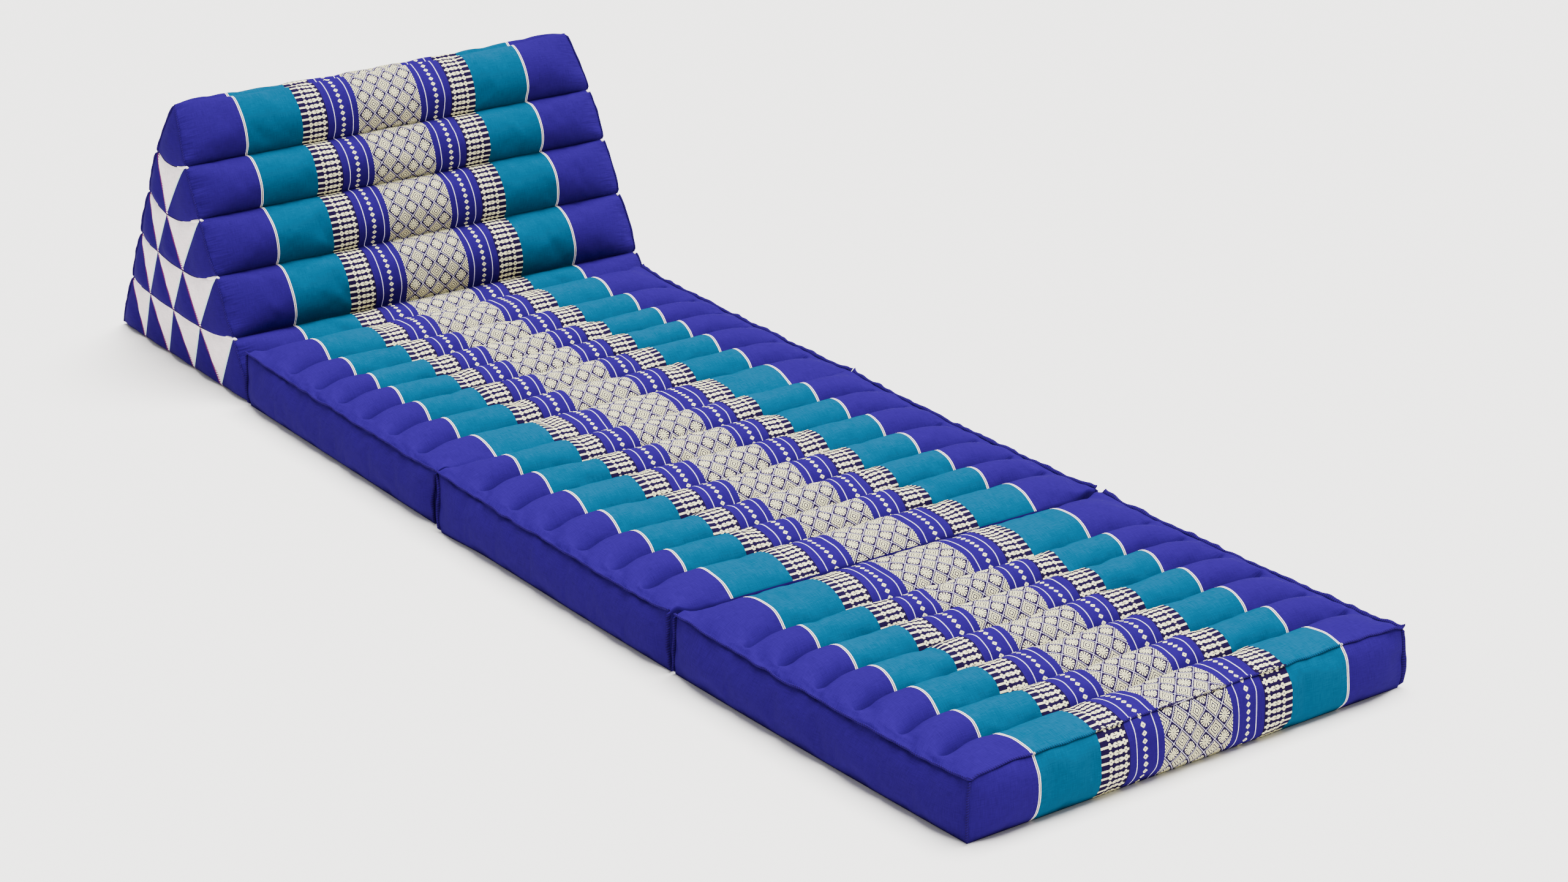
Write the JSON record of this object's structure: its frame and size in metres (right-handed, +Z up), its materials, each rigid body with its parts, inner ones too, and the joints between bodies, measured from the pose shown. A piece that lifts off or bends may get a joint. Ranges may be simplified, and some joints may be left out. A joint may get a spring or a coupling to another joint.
{
  "type": "thai triangle cushion",
  "caption": "Long triangular backrest cushion with fold-out quilted floor mats, in cotton with woven stripes and patchwork ends, laid out flat.",
  "frame": {"origin": "on the floor under the middle of the bounding box, beneath the middle mat", "axes": "+Y along the laid-out strip from the free end of the mats to the triangle cushion, +X across it to the right of someone lying with their head on the triangle and looking down at the cloth from the foot end, +Z up"},
  "size_m": [0.6345, 1.7506, 0.319],
  "materials": {
    "striped_cotton": "matt woven cotton, blue and teal with a cream and navy patterned middle",
    "patchwork_cotton": "matt woven cotton, with patchwork ends in blue and off-white triangles"
  },
  "bodies": {
    "root": {"triangle_cushion": "patchwork_cotton", "mat_1": "striped_cotton", "mat_2": "striped_cotton", "mat_3": "striped_cotton"}
  },
  "joints": []
}
